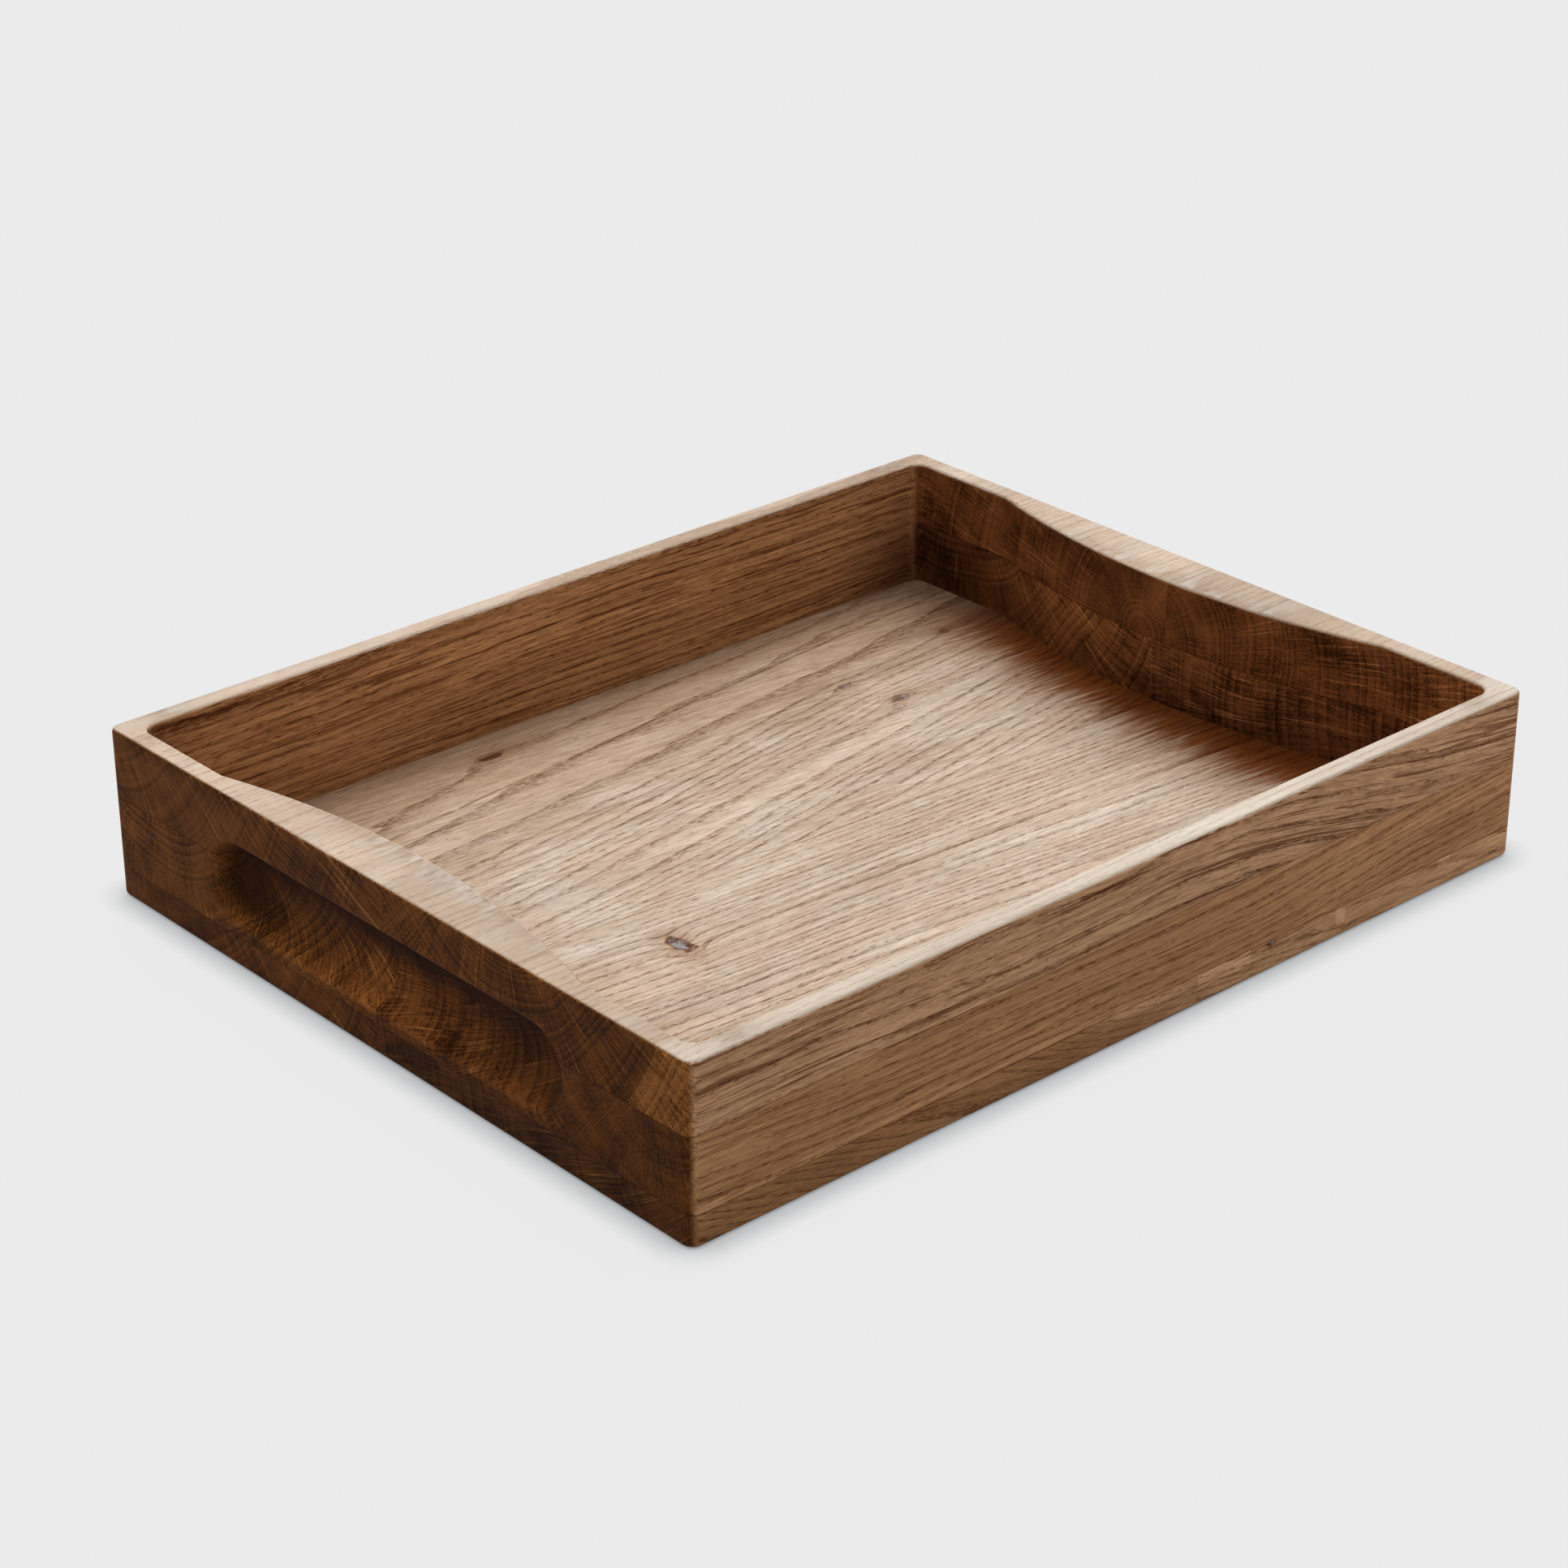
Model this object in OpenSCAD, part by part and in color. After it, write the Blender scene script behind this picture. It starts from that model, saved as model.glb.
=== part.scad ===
// Letter tray milled from a block of oak staves, glued up in three layers of two.
// X runs along the grain, Y from front to back, Z up. The origin is the middle of the underside.

/* [Tray] */
// Length of the tray, along the grain
tray_len = 340; // [300:1:420]
// Width of the tray, from front to back
tray_w = 272; // [230:1:340]
// Thickness of the side walls and of the thin ends of the end walls
wall_t = 7.5; // [6:0.5:12]
// Height of the floor above the underside
floor_t = 12.5; // [6:0.5:20]
// Radius of the upright outer corners
corner_r = 4; // [3:0.5:7]
// Radius of the upright corners inside
cavity_r = 5; // [3:0.5:15]
// Radius that the two edges of the rim are rounded to
rim_ease = 1.5; // [0.5:0.1:2.5]
// Radius that the bottom edges are rounded to
base_ease = 1.8; // [0.5:0.1:2.5]

/* [Staves] */
// Thickness of the bottom layer
bottom_t = 10.5; // [8:0.5:16]
// Thickness of the middle layer
middle_t = 24; // [16:0.5:32]
// Thickness of the top layer
top_t = 22.5; // [16:0.5:32]
// Glue joint of the bottom layer, measured from the tray's middle towards the back
bottom_joint_y = 2; // [-40:0.5:40]
// Glue joint of the middle layer, measured from the tray's middle towards the back
middle_joint_y = 2; // [-40:0.5:40]
// Glue joint of the top layer, measured from the tray's middle towards the back
top_joint_y = -4; // [-40:0.5:40]

/* [Handles] */
// Length of the swelling inside each end wall
swell_len = 170; // [140:1:190]
// How far the swelling stands into the tray at its middle
swell_proud = 12.5; // [10:0.5:20]
// How far the finger grip outside each end stops short of the swelling's ends
grip_inset = 2; // [0:0.5:20]
// Height of the finger grip
grip_h = 27; // [20:0.5:32]
// Depth of the finger grip
grip_depth = 9; // [6:0.5:10]
// Radius that the finger grip's edge is rounded to
grip_ease = 2.2; // [0.5:0.1:3]

/* [Hidden] */
$fa = 1;
$fs = 0.25;

// How far a cutter reaches past the wood
over = 2;
// A rounding's arc is larger by this factor than one that would just touch both faces, so that it
// crosses them at a slant, as a sanded edge does
ease_grow = 1.02;

// Levels of the two glue lines between layers, and of the rim
middle_z = bottom_t;
top_z = middle_z + middle_t;
tray_h = top_z + top_t;

// Half sizes of the cavity, to the thin walls
cavity_x = tray_len / 2 - wall_t;
cavity_y = tray_w / 2 - wall_t;

// Radius of the swelling's arc, and the place of its centre beyond the end wall
swell_half = swell_len / 2;
swell_r = (swell_half * swell_half + swell_proud * swell_proud) / (2 * swell_proud);
swell_x = cavity_x - swell_proud + swell_r;

// The grip is cut by a ball-nosed tool, whose centre runs outside the end face
grip_z = tray_h / 2;
grip_half_h = grip_h / 2;
grip_r = (grip_half_h * grip_half_h + grip_depth * grip_depth) / (2 * grip_depth);
grip_out = grip_r - grip_depth;
grip_travel = swell_len - 2 * grip_inset - grip_h;
// Half height at which the arc of the grip's rounded edge has its centre
grip_mouth = sqrt(pow(grip_r + grip_ease, 2) - pow(grip_out + grip_ease, 2));

// What two ends share, drawn once more turned half round
module at_both_ends() {
    for (flip = [0, 180])
        rotate([0, 0, flip])
            children();
}

// Rectangle with round corners
module rounded_rectangle(half_x, half_y, r) {
    square([2 * (half_x - r), 2 * half_y], center = true);
    square([2 * half_x, 2 * (half_y - r)], center = true);
    for (side_x = [-1, 1], side_y = [-1, 1])
        translate([side_x * (half_x - r), side_y * (half_y - r)])
            circle(r);
}

// Section of the cutter that rounds an edge: the edge is at the origin, the wood at +X and -Y of it
module ease_section(r) {
    difference() {
        translate([-over, -r])
            square([r + over, r + over]);
        translate([r, -r])
            circle(ease_grow * r);
    }
}

// Cutter for a straight edge along X, with the wood on its +Y side, below
module ease_run(length, r) {
    rotate([90, 0, 90])
        linear_extrude(length, center = true)
            ease_section(r);
}

// Cutter for the edge of a hollow round corner, with the wood outside the arc
module ease_hollow(radius, r, from, turn) {
    rotate([0, 0, from])
        rotate_extrude(angle = turn)
            translate([radius, 0])
                ease_section(r);
}

// Cutter for the edge of a full round corner, with the wood inside the arc
module ease_full(radius, r, from, turn) {
    rotate([0, 0, from])
        rotate_extrude(angle = turn)
            translate([radius, 0])
                mirror([1, 0])
                    ease_section(r);
}

// Cutters for the block's outer edge, all round the top
module outer_ease(r) {
    half_x = tray_len / 2;
    half_y = tray_w / 2;
    at_both_ends() {
        translate([0, -half_y, 0])
            ease_run(tray_len - 2 * corner_r, r);
        translate([half_x, 0, 0])
            rotate([0, 0, 90])
                ease_run(tray_w - 2 * corner_r, r);
        translate([half_x - corner_r, half_y - corner_r, 0])
            ease_full(corner_r, r, 0, 90);
        translate([corner_r - half_x, half_y - corner_r, 0])
            ease_full(corner_r, r, 90, 90);
    }
}

// Block of wood with its upright corners, its rim's outer edge and its bottom edge rounded
module block() {
    difference() {
        linear_extrude(tray_h)
            rounded_rectangle(tray_len / 2, tray_w / 2, corner_r);
        translate([0, 0, tray_h])
            outer_ease(rim_ease);
        mirror([0, 0, 1])
            outer_ease(base_ease);
    }
}

// Cutters for the rim's inner edge, all round the cavity
module inner_ease() {
    at_both_ends() {
        translate([0, cavity_y, 0])
            ease_run(2 * (cavity_x - cavity_r), rim_ease);
        translate([cavity_x, 0, 0])
            rotate([0, 0, -90])
                ease_run(2 * (cavity_y - cavity_r), rim_ease);
        translate([cavity_x - cavity_r, cavity_y - cavity_r, 0])
            ease_hollow(cavity_r, rim_ease, 0, 90);
        translate([cavity_r - cavity_x, cavity_y - cavity_r, 0])
            ease_hollow(cavity_r, rim_ease, 90, 90);
    }
}

// Space milled out from above, before the swellings are left standing in it
module cavity() {
    translate([0, 0, floor_t])
        linear_extrude(tray_h - floor_t + over)
            rounded_rectangle(cavity_x, cavity_y, cavity_r);
    translate([0, 0, tray_h])
        inner_ease();
}

// Swelling of the +X end wall: a slice of a large disc with a rounded rim, rooted in the wall and floor
module swelling() {
    root_z = floor_t / 2;
    root_x = cavity_x + wall_t / 2;
    intersection() {
        translate([swell_x, 0, tray_h])
            difference() {
                translate([0, 0, root_z - tray_h])
                    cylinder(h = tray_h - root_z, r = swell_r);
                ease_full(swell_r, rim_ease, 0, 360);
            }
        translate([cavity_x - swell_proud - over, -swell_half - over, 0])
            cube([root_x - cavity_x + swell_proud + over, swell_len + 2 * over, tray_h + over]);
    }
}

// Section of one half of the grip, with the end face on the X axis and the wood above it
module grip_section() {
    centre = [0, -grip_out];
    edge = [grip_mouth, grip_ease];
    intersection() {
        translate([0, -over])
            square([grip_mouth, grip_depth + 2 * over]);
        union() {
            translate(centre)
                circle(grip_r);
            translate([0, -over])
                square([grip_mouth, over]);
            difference() {
                polygon([[grip_mouth, 0], edge, centre]);
                translate(edge)
                    circle(ease_grow * grip_ease);
            }
        }
    }
}

// Space milled out of the +X end for the fingers
module grip() {
    translate([tray_len / 2, 0, grip_z])
        rotate([0, -90, 0]) {
            rotate([90, 0, 0])
                linear_extrude(grip_travel, center = true)
                    for (side = [0, 1])
                        mirror([side, 0])
                            grip_section();
            at_both_ends()
                translate([0, grip_travel / 2, 0])
                    rotate_extrude(angle = 180)
                        grip_section();
        }
}

// The whole block after milling
module milled_block() {
    difference() {
        union() {
            difference() {
                block();
                cavity();
            }
            at_both_ends()
                swelling();
        }
        at_both_ends()
            grip();
    }
}

// One stave: the part of the milled block between two glue lines, in Y and in Z
module stave(y_from, y_to, z_from, z_to) {
    intersection() {
        milled_block();
        translate([-tray_len / 2 - over, y_from, z_from])
            cube([tray_len + 2 * over, y_to - y_from, z_to - z_from]);
    }
}

module front_stave(joint_y, z_from, z_to) {
    stave(-tray_w / 2 - over, joint_y, z_from, z_to);
}

module back_stave(joint_y, z_from, z_to) {
    stave(joint_y, tray_w / 2 + over, z_from, z_to);
}

module bottom_front_stave() {
    color("#8f6a45")
        front_stave(bottom_joint_y, -over, middle_z);
}

module bottom_back_stave() {
    color("#876342")
        back_stave(bottom_joint_y, -over, middle_z);
}

module middle_front_stave() {
    color("#a37d55")
        front_stave(middle_joint_y, middle_z, top_z);
}

module middle_back_stave() {
    color("#ab8259")
        back_stave(middle_joint_y, middle_z, top_z);
}

module top_front_stave() {
    color("#c9a67b")
        front_stave(top_joint_y, top_z, tray_h + over);
}

module top_back_stave() {
    color("#bd996d")
        back_stave(top_joint_y, top_z, tray_h + over);
}

bottom_front_stave();
bottom_back_stave();
middle_front_stave();
middle_back_stave();
top_front_stave();
top_back_stave();
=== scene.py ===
"""Looks of a letter tray milled from laminated oak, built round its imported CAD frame.

The six staves keep their CAD meshes. Each gets a solid-wood material that is worked out in the stave's own
space, so that its figure follows the hollows. Its growth rings have one centre for all cuts along the grain
and one for all cuts across it.
Lengths are metres, apart from names that end in _mm. X runs along the grain, Y to the back and Z up.
"""

import logging
import math
from dataclasses import dataclass
from enum import Enum
from typing import Optional, Tuple, Union

import bmesh
import bpy
from mathutils import Matrix, Vector

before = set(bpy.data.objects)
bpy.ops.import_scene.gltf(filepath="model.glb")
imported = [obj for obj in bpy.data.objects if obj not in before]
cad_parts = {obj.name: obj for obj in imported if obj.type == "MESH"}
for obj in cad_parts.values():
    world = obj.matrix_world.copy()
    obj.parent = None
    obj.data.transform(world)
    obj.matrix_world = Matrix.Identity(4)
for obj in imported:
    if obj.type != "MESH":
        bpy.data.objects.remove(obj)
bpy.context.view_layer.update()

LOG = logging.getLogger("letter_tray")
MM_PER_METRE = 1000.0
HALF = 0.5
FULL = 1.0

Triple = Tuple[float, float, float]
Colour = Triple
Span = Tuple[float, float]
Socket = bpy.types.NodeSocket
Paint = Union[Colour, Socket]
Amount = Union["Signal", float]

WHITE: Colour = (1.0, 1.0, 1.0)


class Operation(Enum):
    """Arithmetic that one math node does."""

    ADD = "ADD"
    SUBTRACT = "SUBTRACT"
    MULTIPLY = "MULTIPLY"
    DIVIDE = "DIVIDE"
    ROOT = "SQRT"
    WHOLE = "FLOOR"
    PART = "FRACT"
    SIZE = "ABSOLUTE"
    ANGLE = "ARCTAN2"
    POWER_OF_E = "EXPONENT"
    LARGER = "MAXIMUM"


class Blend(Enum):
    """How one colour is laid over another."""

    COVER = "MIX"
    STAIN = "MULTIPLY"


class Layer(Enum):
    """Layer of staves, from the desk upwards."""

    BOTTOM = "bottom"
    MIDDLE = "middle"
    TOP = "top"


class Side(Enum):
    """Half of a layer."""

    FRONT = "front"
    BACK = "back"


@dataclass(frozen=True)
class Signal:
    """One number of a pattern, which varies from place to place and is carried by a socket."""

    bench: "Bench"
    socket: Socket

    def __add__(self, other: Amount) -> "Signal":
        """Sum of two amounts."""
        return self.bench.work(Operation.ADD, self, other)

    def __sub__(self, other: Amount) -> "Signal":
        """Difference of two amounts."""
        return self.bench.work(Operation.SUBTRACT, self, other)

    def __mul__(self, other: Amount) -> "Signal":
        """Product of two amounts."""
        return self.bench.work(Operation.MULTIPLY, self, other)

    def __truediv__(self, other: Amount) -> "Signal":
        """Quotient of two amounts."""
        return self.bench.work(Operation.DIVIDE, self, other)

    def flipped(self) -> "Signal":
        """One minus this signal."""
        return self.bench.work(Operation.SUBTRACT, FULL, self)

    def negated(self) -> "Signal":
        """This signal with the other sign."""
        return self * -1.0

    def centred(self) -> "Signal":
        """This signal of 0 to 1, moved to lie about zero."""
        return self - HALF

    def size(self) -> "Signal":
        """This signal without its sign."""
        return self.bench.work(Operation.SIZE, self)

    def or_more(self, other: Amount) -> "Signal":
        """The larger of two amounts."""
        return self.bench.work(Operation.LARGER, self, other)

    def between(self, low: float, high: float) -> "Signal":
        """Low where this signal is 0, high where it is 1, and in proportion between."""
        return self * (high - low) + low


@dataclass(frozen=True)
class Place:
    """A point of the wood, in millimetres along X, Y and Z."""

    x: Signal
    y: Signal
    z: Signal


@dataclass(frozen=True)
class Figure:
    """Lengths over which a pattern in the wood changes, along the grain, across it and up."""

    SEED_ACROSS = 1.7
    SEED_UP = 2.3

    along_mm: float
    across_mm: float
    up_mm: float
    detail: float = 0.0


class Bench:
    """Adds nodes to one tree and joins their sockets."""

    NOISE_SCALE: float = 1.0
    LINE_DETAIL: float = 1.0

    def __init__(self, tree: bpy.types.NodeTree) -> None:
        """Takes the node tree of a material or of the world."""
        self.tree = tree

    def node(self, kind: str) -> bpy.types.Node:
        """New node of the given kind."""
        return self.tree.nodes.new(kind)

    def join(self, start: Socket, end: Socket) -> None:
        """Links an output socket to an input socket."""
        self.tree.links.new(start, end)

    def feed(self, socket: Socket, amount: Amount) -> None:
        """Joins a signal to a socket, or sets the socket to a number.

        Args:
            socket: input socket.
            amount: signal or number.
        """
        if isinstance(amount, Signal):
            self.join(amount.socket, socket)
        else:
            socket.default_value = amount

    def paint(self, socket: Socket, paint: Paint) -> None:
        """Joins a colour socket to a socket, or sets the socket to a colour.

        Args:
            socket: input socket.
            paint: colour socket or colour.
        """
        if isinstance(paint, Socket):
            self.join(paint, socket)
        else:
            socket.default_value = (*paint, FULL)

    def work(self, operation: Operation, *amounts: Amount) -> Signal:
        """Arithmetic on signals and numbers.

        Args:
            operation: what to do.
            amounts: one or two amounts.

        Returns:
            The result.
        """
        node = self.node("ShaderNodeMath")
        node.operation = operation.value
        for socket, amount in zip(node.inputs, amounts):
            self.feed(socket, amount)
        return Signal(self, node.outputs["Value"])

    def ramp(self, signal: Signal, low: Amount, high: Amount) -> Signal:
        """Smooth rise from 0 to 1 while a signal goes from low to high.

        Args:
            signal: what is measured.
            low: where the rise starts.
            high: where it ends.

        Returns:
            A signal from 0 to 1.
        """
        node = self.node("ShaderNodeMapRange")
        node.interpolation_type = "SMOOTHSTEP"
        self.feed(node.inputs["Value"], signal)
        self.feed(node.inputs["From Min"], low)
        self.feed(node.inputs["From Max"], high)
        return Signal(self, node.outputs["Result"])

    def parts(self, vector: Socket) -> Tuple[Signal, Signal, Signal]:
        """Takes a vector apart.

        Args:
            vector: vector socket.

        Returns:
            Its X, Y and Z.
        """
        split = self.node("ShaderNodeSeparateXYZ")
        self.join(vector, split.inputs["Vector"])
        x, y, z = (Signal(self, part) for part in split.outputs)
        return x, y, z

    def noise(self, place: Place, figure: Figure, seed: float) -> bpy.types.Node:
        """Smooth noise with the lengths of a figure.

        Args:
            place: point of the wood.
            figure: lengths along each axis, and depth of detail.
            seed: which piece of the noise is used.

        Returns:
            The noise node.
        """
        point = self.node("ShaderNodeCombineXYZ")
        for socket, part in zip(point.inputs, (place.x, place.y, place.z)):
            self.feed(socket, part)
        stretch = self.node("ShaderNodeVectorMath")
        stretch.operation = "MULTIPLY_ADD"
        spot, scale, shift, *_ = stretch.inputs
        self.join(point.outputs["Vector"], spot)
        scale.default_value = (FULL / figure.along_mm, FULL / figure.across_mm, FULL / figure.up_mm)
        shift.default_value = (seed, seed * Figure.SEED_ACROSS, seed * Figure.SEED_UP)
        node = self.node("ShaderNodeTexNoise")
        self.join(stretch.outputs["Vector"], node.inputs["Vector"])
        node.inputs["Scale"].default_value = self.NOISE_SCALE
        node.inputs["Detail"].default_value = figure.detail
        return node

    def figure(self, place: Place, figure: Figure, seed: float) -> Signal:
        """Noise of a figure as one signal from 0 to 1, with a mean of a half."""
        return Signal(self, self.noise(place, figure, seed).outputs["Fac"])

    def slow_line(self, signal: Signal, length: float, seed: float) -> Signal:
        """Noise that changes along one signal only.

        Args:
            signal: what the noise runs along.
            length: how far the signal goes before the noise changes.
            seed: which piece of the noise is used.

        Returns:
            A signal from 0 to 1, with a mean of a half.
        """
        node = self.node("ShaderNodeTexNoise")
        node.noise_dimensions = "1D"
        self.feed(node.inputs["W"], signal / length + seed)
        node.inputs["Scale"].default_value = self.NOISE_SCALE
        node.inputs["Detail"].default_value = self.LINE_DETAIL
        return Signal(self, node.outputs["Fac"])

    def lot(self, number: Signal) -> Signal:
        """Draws a number by lot, the same each time for one number.

        Args:
            number: what the lot is drawn for.

        Returns:
            A signal from 0 to 1.
        """
        node = self.node("ShaderNodeTexWhiteNoise")
        node.noise_dimensions = "1D"
        self.feed(node.inputs["W"], number)
        return Signal(self, node.outputs["Value"])

    def mix(self, share: Amount, first: Paint, second: Paint, blend: Blend = Blend.COVER) -> Socket:
        """Lays one colour over another.

        Args:
            share: how much of the second colour is used.
            first: colour or colour socket below.
            second: colour or colour socket on top.
            blend: how it is laid.

        Returns:
            A colour socket.
        """
        node = self.node("ShaderNodeMix")
        node.data_type = "RGBA"
        node.blend_type = blend.value
        factor = next(socket for socket in node.inputs if socket.type == "VALUE")
        below, above = (socket for socket in node.inputs if socket.type == "RGBA")
        self.feed(factor, share)
        self.paint(below, first)
        self.paint(above, second)
        return next(socket for socket in node.outputs if socket.type == "RGBA")

    def seen(self) -> Signal:
        """Tells rays that look from light that spreads.

        Returns:
            One for the camera, a reflection or a see-through ray, and zero for light that spreads.
        """
        path = self.node("ShaderNodeLightPath")
        names = ("Is Camera Ray", "Is Glossy Ray", "Is Transmission Ray")
        camera, glossy, clear = (Signal(self, path.outputs[name]) for name in names)
        return camera.or_more(glossy).or_more(clear)


@dataclass(frozen=True)
class Pith:
    """Line of the tree's pith beside a stave: its place at the tray's middle, and its lean along X."""

    y_mm: float
    z_mm: float
    lean_y: float = 0.0
    lean_z: float = 0.0


@dataclass(frozen=True)
class Bend:
    """Lean of the lines on a stave's sides: where along X it starts and is full, and how steep it is."""

    from_mm: float
    full_mm: float
    lean: float


@dataclass(frozen=True)
class Growth:
    """How the tree grew round one stave: its pith as the long cuts show it and as the end cuts show it.

    On the tray's floor its fibres run off towards the back, by their lean for each length along X. On its
    sides the lines may bend.
    """

    along: Pith
    across: Pith
    ring_mm: float
    seed: float
    fibre_lean: float = 0.0
    bend: Optional[Bend] = None


@dataclass(frozen=True)
class Tones:
    """Colours of wood cut along the grain at the side, along it on top with a painted sheen, and across it.
    """

    side: Colour
    top: Colour
    end: Colour


@dataclass(frozen=True)
class Strength:
    """How strongly the figure of one stave shows at its sides and on top, and its dark veins."""

    side: float = 1.0
    top: float = 1.0
    veins: float = 0.0


@dataclass(frozen=True)
class Knot:
    """A small knot: its place, its reach, how dark it is, how many rings bend round it and how grey it is.

    Its place across the grain is measured along Y in the tray's floor, and along Z in a side.
    """

    x_mm: float
    across_mm: float
    long_mm: float
    wide_mm: float
    depth: float
    pull: float = 0.0
    grey: float = 1.0
    in_side: bool = False


@dataclass(frozen=True)
class Sapwood:
    """Pale outer wood of the tree, from a distance off the pith; at the far end it starts more softly."""

    from_mm: float
    blend_mm: float
    tones: Tones
    far_blend_mm: float = 0.0


@dataclass(frozen=True)
class GrowthLine:
    """A dark row of pores along the tray's floor: its place at the tray's middle, its lean and its reach."""

    y_mm: float
    lean: float
    wide_mm: Span
    dash: Figure
    dash_range: Span
    shade: Colour


@dataclass(frozen=True)
class Patch:
    """Pale patch on a stave's side: its middle, its half lengths and how softly it ends, in X and Z each."""

    middle_mm: Span
    half_mm: Span
    soft_mm: Span
    tint: Colour


@dataclass(frozen=True)
class Wood:
    """Wood of one stave; the end grain inside the tray has painted light of its own, as a tint."""

    growth: Growth
    tones: Tones
    strength: Strength = Strength()
    knots: Tuple[Knot, ...] = ()
    sapwood: Optional[Sapwood] = None
    line: Optional[GrowthLine] = None
    patches: Tuple[Patch, ...] = ()
    inner_painted_light: Colour = WHITE


@dataclass(frozen=True)
class LongGrain:
    """What shows where the wood is cut along the grain: patterns at their real scale, and their weight."""

    fibre: Figure = Figure(8.0, 0.34, 0.34, 2.0)
    fibre_weight: float = 1.55
    streak: Figure = Figure(110.0, 1.6, 1.6, 2.0)
    streak_weight: float = 0.75
    cloud: Figure = Figure(90.0, 26.0, 22.0, 2.0)
    cloud_weight: float = 0.55
    year_weight: float = 0.10
    early_weight: float = 0.20
    deep: Colour = (0.50, 0.41, 0.34)
    pale: Colour = (1.46, 1.54, 1.62)
    pore: Figure = Figure(2.8, 0.32, 0.32, 1.0)
    row: Figure = Figure(60.0, 5.0, 5.0, 1.0)
    pore_start: float = 0.68
    pore_row: float = 0.36
    pore_edge: float = 0.06
    pore_shade: Colour = (0.56, 0.45, 0.37)
    vein: Figure = Figure(75.0, 1.2, 1.2, 2.0)
    vein_range: Span = (0.54, 0.64)
    vein_shade: Colour = (0.46, 0.37, 0.31)


@dataclass(frozen=True)
class EndGrain:
    """What shows where the wood is cut across the grain: rings, rays that run from the pith, and specks."""

    ring_weight: float = 0.68
    speck: Figure = Figure(40.0, 0.42, 0.42, 1.0)
    speck_weight: float = 1.60
    cloud: Figure = Figure(60.0, 18.0, 14.0, 3.0)
    cloud_weight: float = 1.8
    fine_fan: float = 210.0
    fine_ray: Figure = Figure(60.0, 1.0, 9.0, 1.0)
    fine_weight: float = 1.55
    fan: float = 105.0
    ray: Figure = Figure(60.0, 1.0, 34.0, 1.0)
    ray_range: Span = (0.63, 0.71)
    ray_shade: Colour = (1.95, 2.35, 2.75)
    deep: Colour = (0.22, 0.18, 0.15)
    pale: Colour = (1.80, 1.84, 1.88)


@dataclass(frozen=True)
class WearAndPaintedLight:
    """Marks of milling and use, and painted light and shade.

    The crests of the ends are scuffed, and the rim and floor are paler in clouds, partly from rubbing and
    partly as a painted sheen. Painted shade darkens the depth of the grips, the floor's border, its streaky
    strip along the far end, the recess of that end above the strip, and the nook of the back wall beside it.
    Painted light brightens the bowls and lower lips of the grips and the outside of the far end; the
    outside of the near end takes a painted shaded tint.
    """

    rim_mm: Span = (56.0, 56.7)
    grip_x_mm: Span = (160.4, 161.0)
    grip_half_y_mm: float = 84.0
    grip_middle_z_mm: float = 28.5
    grip_half_z_mm: float = 15.6
    grip_edge: Span = (0.97, 1.0)
    grip_deep_mm: Span = (164.0, 169.6)
    grip_high_mm: Span = (18.5, 35.0)
    grip_shift_mm: float = 8.0
    grip_ends_mm: Span = (56.0, 80.0)
    grip_painted_shade: Colour = (0.23, 0.21, 0.20)
    lip_z_mm: float = 15.0
    lip_mm: Span = (0.5, 3.5)
    lip_painted_highlight: Colour = (1.6, 1.55, 1.45)
    bowl_z_mm: float = 22.0
    bowl_high_mm: Span = (2.0, 11.0)
    bowl_wide_mm: Span = (10.0, 52.0)
    bowl_painted_light: Colour = (1.70, 1.65, 1.55)
    border_x_mm: Span = (95.0, 150.0)
    border_y_mm: Span = (30.0, 128.0)
    border_share: float = 0.8
    border_painted_shade: Colour = (0.76, 0.62, 0.49)
    strip_mm: Span = (119.0, 141.0)
    strip_back_mm: Span = (70.0, 122.0)
    strip_turn_mm: Span = (10.0, 80.0)
    strip_shift_mm: float = 11.0
    strip_streak: Figure = Figure(45.0, 1.4, 1.4, 2.0)
    strip_streak_mm: float = 40.0
    strip_painted_shadow: Colour = (0.47, 0.20, 0.07)
    recess_y_mm: Span = (70.0, 100.0)
    recess_foot_mm: Span = (13.0, 33.0)
    recess_foot_share: float = 0.6
    recess_painted_shade: Colour = (0.40, 0.37, 0.35)
    far_end_mm: Span = (-50.0, 50.0)
    near_end_shaded_tone: Colour = (0.92, 0.89, 0.71)
    far_end_lit_tone: Colour = (0.95, 1.20, 1.5)
    nook_x_mm: float = 162.5
    nook_z_mm: float = 12.5
    nook_squeeze: float = 0.77
    nook_mm: Span = (2.0, 38.0)
    nook_from_mm: Span = (100.0, 115.0)
    nook_to_mm: Span = (129.5, 133.0)
    nook_painted_shade: Colour = (0.35, 0.29, 0.27)
    glue_mm: Span = (0.1, 0.4)
    glue_shade: Colour = (0.66, 0.58, 0.52)
    rub: Figure = Figure(34.0, 15.0, 15.0, 3.0)
    rub_range: Span = (0.45, 0.75)
    rub_and_sheen_colour: Colour = (0.70, 0.63, 0.56)
    rub_share: float = 0.35
    scuff: Figure = Figure(12.0, 6.0, 6.0, 3.0)
    scuff_range: Span = (0.45, 0.62)
    scuff_from_mm: Span = (140.0, 149.0)
    scuff_to_mm: Span = (151.0, 163.0)
    scuff_flat: Span = (0.93, 0.99)
    crest_tone: Colour = (0.78, 0.75, 0.72)
    scuff_colour: Colour = (0.70, 0.64, 0.58)
    scuff_share: float = 0.60


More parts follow.
